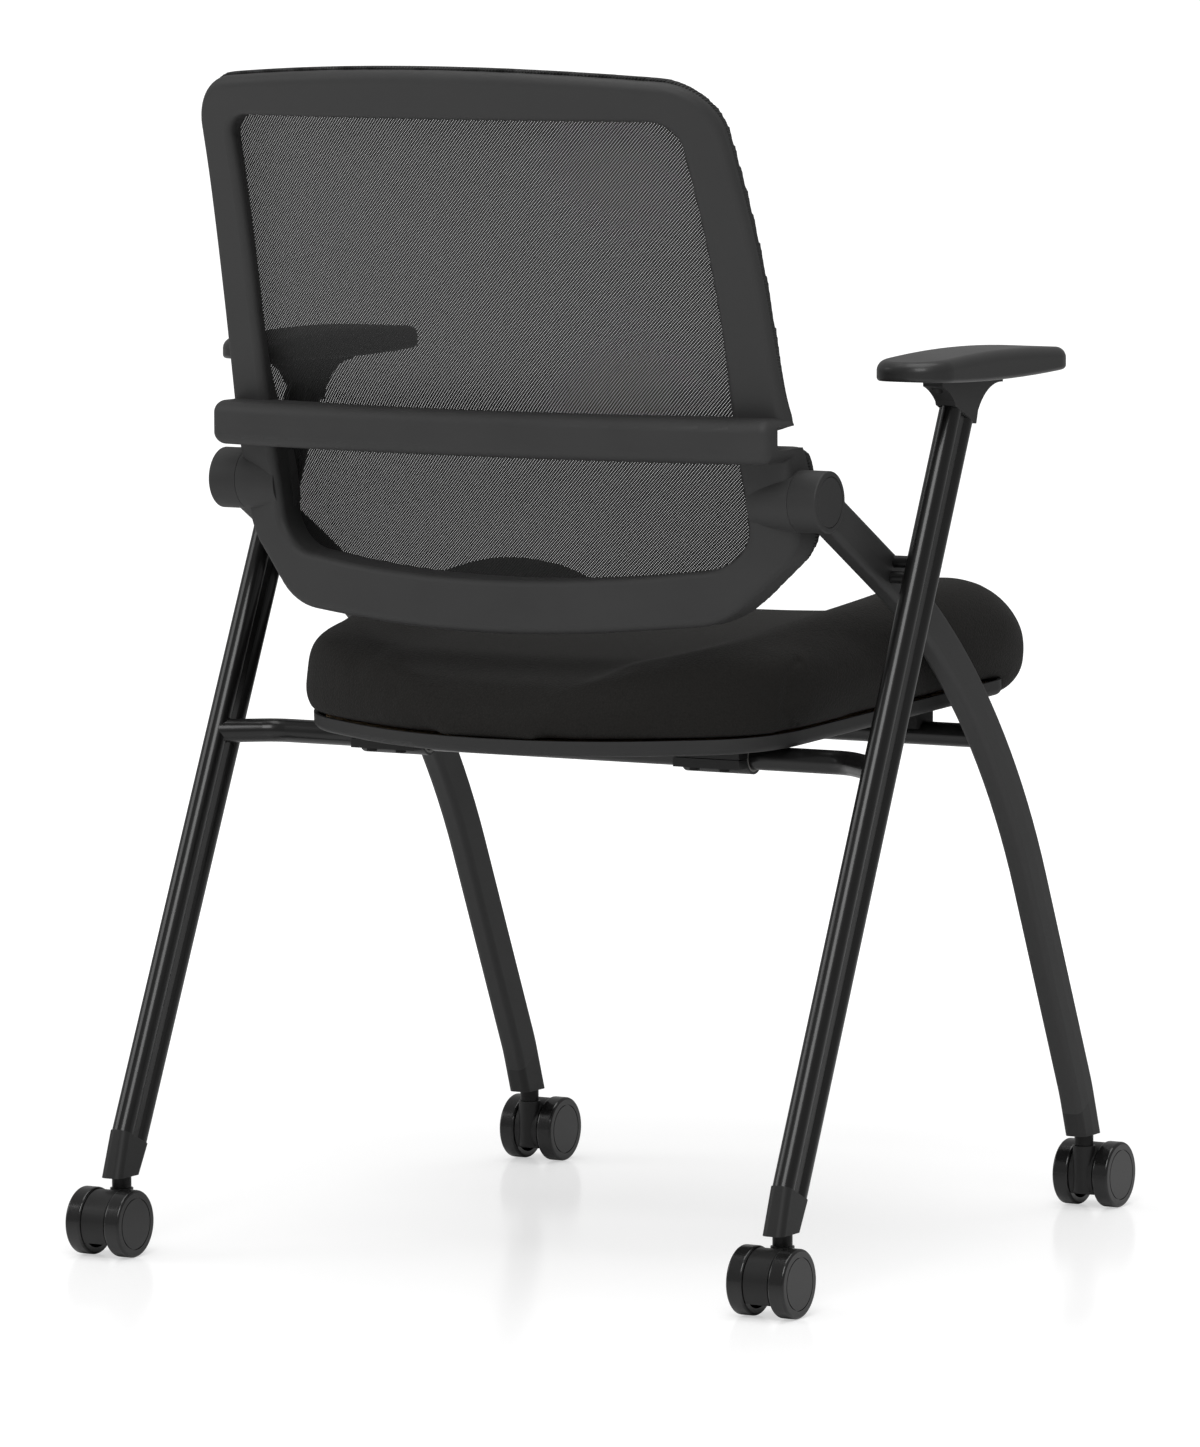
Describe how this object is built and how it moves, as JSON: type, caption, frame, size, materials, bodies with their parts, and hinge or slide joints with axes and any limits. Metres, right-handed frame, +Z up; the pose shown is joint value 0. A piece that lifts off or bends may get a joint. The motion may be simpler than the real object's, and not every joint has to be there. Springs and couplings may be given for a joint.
{
  "type": "nesting chair",
  "caption": "Mesh-backed nesting chair with a padded flip-up seat, short armrests on straight rear legs, bent front legs and twin-wheel casters.",
  "frame": {"origin": "middle of the footprint on the floor, under the chair", "axes": "+Z up, +X to the sitter's left, -Y to the front where the sitter faces"},
  "size_m": [0.618, 0.6142, 0.8784],
  "materials": {
    "dark_frame": "matte",
    "hard_plastic": "matte",
    "arm_plastic": "matte",
    "black_screw": "satin",
    "back_plastic": "matte",
    "mesh": "matte",
    "steel": "satin",
    "caster_plastic": "satin",
    "bush_plastic": "matte",
    "clamp_steel": "satin",
    "black_tube": "satin",
    "ferrule_plastic": "matte",
    "hub_plastic": "matte",
    "wheel_plastic": "gloss",
    "edging": "matte",
    "plywood": "matte",
    "seat_fabric": "matte",
    "pan_plastic": "matte",
    "rubber": "matte"
  },
  "bodies": {
    "frame": {"arm_bracket_left": "dark_frame", "arm_bracket_right": "dark_frame", "arm_pad_base_left": "hard_plastic", "arm_pad_base_right": "hard_plastic", "arm_pad_left": "arm_plastic", "arm_pad_right": "arm_plastic", "arm_screws": "black_screw", "caster_stem_front_left": "steel", "caster_stem_front_right": "steel", "caster_stem_rear_left": "steel", "caster_stem_rear_right": "steel", "front_cross_tube": "black_tube", "front_ferrule_left": "ferrule_plastic", "front_ferrule_right": "ferrule_plastic", "front_leg_left": "dark_frame", "front_leg_right": "dark_frame", "hub_cap_left": "hub_plastic", "hub_cap_right": "hub_plastic", "hub_housing_left": "hub_plastic", "hub_housing_right": "hub_plastic", "hub_pin_left": "steel", "hub_pin_right": "steel", "leg_studs": "steel", "rear_cross_tube": "black_tube", "rear_ferrule_left": "ferrule_plastic", "rear_ferrule_right": "ferrule_plastic", "rear_leg_left": "black_tube", "rear_leg_right": "black_tube", "torsion_rings": "rubber"},
    "seat": {"clamp_bushes": "bush_plastic", "clamp_strap_left": "clamp_steel", "clamp_strap_right": "clamp_steel", "seat_board": "plywood", "seat_clamp_left": "clamp_steel", "seat_clamp_right": "clamp_steel", "seat_cushion": "seat_fabric", "seat_pan": "pan_plastic", "seat_rests": "rubber", "seat_screws": "black_screw"},
    "back": {"back_frame": "back_plastic", "back_mesh": "mesh", "mesh_edging": "edging", "pivot_bushes": "bush_plastic"},
    "swivel_rear_left": {"caster_hood_rear_left": "caster_plastic", "caster_axle_rear_left": "steel"},
    "outer_roller_rear_left": {"outer_wheel_rear_left": "wheel_plastic"},
    "inner_roller_rear_left": {"inner_wheel_rear_left": "wheel_plastic"},
    "swivel_rear_right": {"caster_hood_rear_right": "caster_plastic", "caster_axle_rear_right": "steel"},
    "outer_roller_rear_right": {"outer_wheel_rear_right": "wheel_plastic"},
    "inner_roller_rear_right": {"inner_wheel_rear_right": "wheel_plastic"},
    "swivel_front_left": {"caster_hood_front_left": "caster_plastic", "caster_axle_front_left": "steel"},
    "outer_roller_front_left": {"outer_wheel_front_left": "wheel_plastic"},
    "inner_roller_front_left": {"inner_wheel_front_left": "wheel_plastic"},
    "swivel_front_right": {"caster_hood_front_right": "caster_plastic", "caster_axle_front_right": "steel"},
    "outer_roller_front_right": {"outer_wheel_front_right": "wheel_plastic"},
    "inner_roller_front_right": {"inner_wheel_front_right": "wheel_plastic"}
  },
  "joints": [
    {"name": "seat_flip", "type": "hinge", "parent": "frame", "child": "seat", "pos_m": [0, 0.102, 0.3744], "axis": [-1, 0, 0], "range_deg": [0, 45]},
    {"name": "back_tilt", "type": "hinge", "parent": "frame", "child": "back", "pos_m": [0, 0.1533, 0.567], "axis": [-1, 0, 0], "range_deg": [0, 9], "stiffness_Nm_per_rad": 40, "springref_deg": -20.05},
    {"name": "swivel_turn_rear_left", "type": "hinge", "parent": "frame", "child": "swivel_rear_left", "pos_m": [0.2791, 0.2654, 0.045], "axis": [0, 0, 1], "continuous": true},
    {"name": "outer_spin_rear_left", "type": "hinge", "parent": "swivel_rear_left", "child": "outer_roller_rear_left", "pos_m": [0.2791, 0.2821, 0.025], "axis": [1, 0, 0], "continuous": true},
    {"name": "inner_spin_rear_left", "type": "hinge", "parent": "swivel_rear_left", "child": "inner_roller_rear_left", "pos_m": [0.2791, 0.2821, 0.025], "axis": [1, 0, 0], "continuous": true},
    {"name": "swivel_turn_rear_right", "type": "hinge", "parent": "frame", "child": "swivel_rear_right", "pos_m": [-0.2791, 0.2654, 0.045], "axis": [0, 0, 1], "continuous": true},
    {"name": "outer_spin_rear_right", "type": "hinge", "parent": "swivel_rear_right", "child": "outer_roller_rear_right", "pos_m": [-0.2791, 0.2821, 0.025], "axis": [1, 0, 0], "continuous": true},
    {"name": "inner_spin_rear_right", "type": "hinge", "parent": "swivel_rear_right", "child": "inner_roller_rear_right", "pos_m": [-0.2791, 0.2821, 0.025], "axis": [1, 0, 0], "continuous": true},
    {"name": "swivel_turn_front_left", "type": "hinge", "parent": "frame", "child": "swivel_front_left", "pos_m": [0.2446, -0.2654, 0.045], "axis": [0, 0, 1], "continuous": true},
    {"name": "outer_spin_front_left", "type": "hinge", "parent": "swivel_front_left", "child": "outer_roller_front_left", "pos_m": [0.2446, -0.2821, 0.025], "axis": [1, 0, 0], "continuous": true},
    {"name": "inner_spin_front_left", "type": "hinge", "parent": "swivel_front_left", "child": "inner_roller_front_left", "pos_m": [0.2446, -0.2821, 0.025], "axis": [1, 0, 0], "continuous": true},
    {"name": "swivel_turn_front_right", "type": "hinge", "parent": "frame", "child": "swivel_front_right", "pos_m": [-0.2446, -0.2654, 0.045], "axis": [0, 0, 1], "continuous": true},
    {"name": "outer_spin_front_right", "type": "hinge", "parent": "swivel_front_right", "child": "outer_roller_front_right", "pos_m": [-0.2446, -0.2821, 0.025], "axis": [1, 0, 0], "continuous": true},
    {"name": "inner_spin_front_right", "type": "hinge", "parent": "swivel_front_right", "child": "inner_roller_front_right", "pos_m": [-0.2446, -0.2821, 0.025], "axis": [1, 0, 0], "continuous": true}
  ]
}
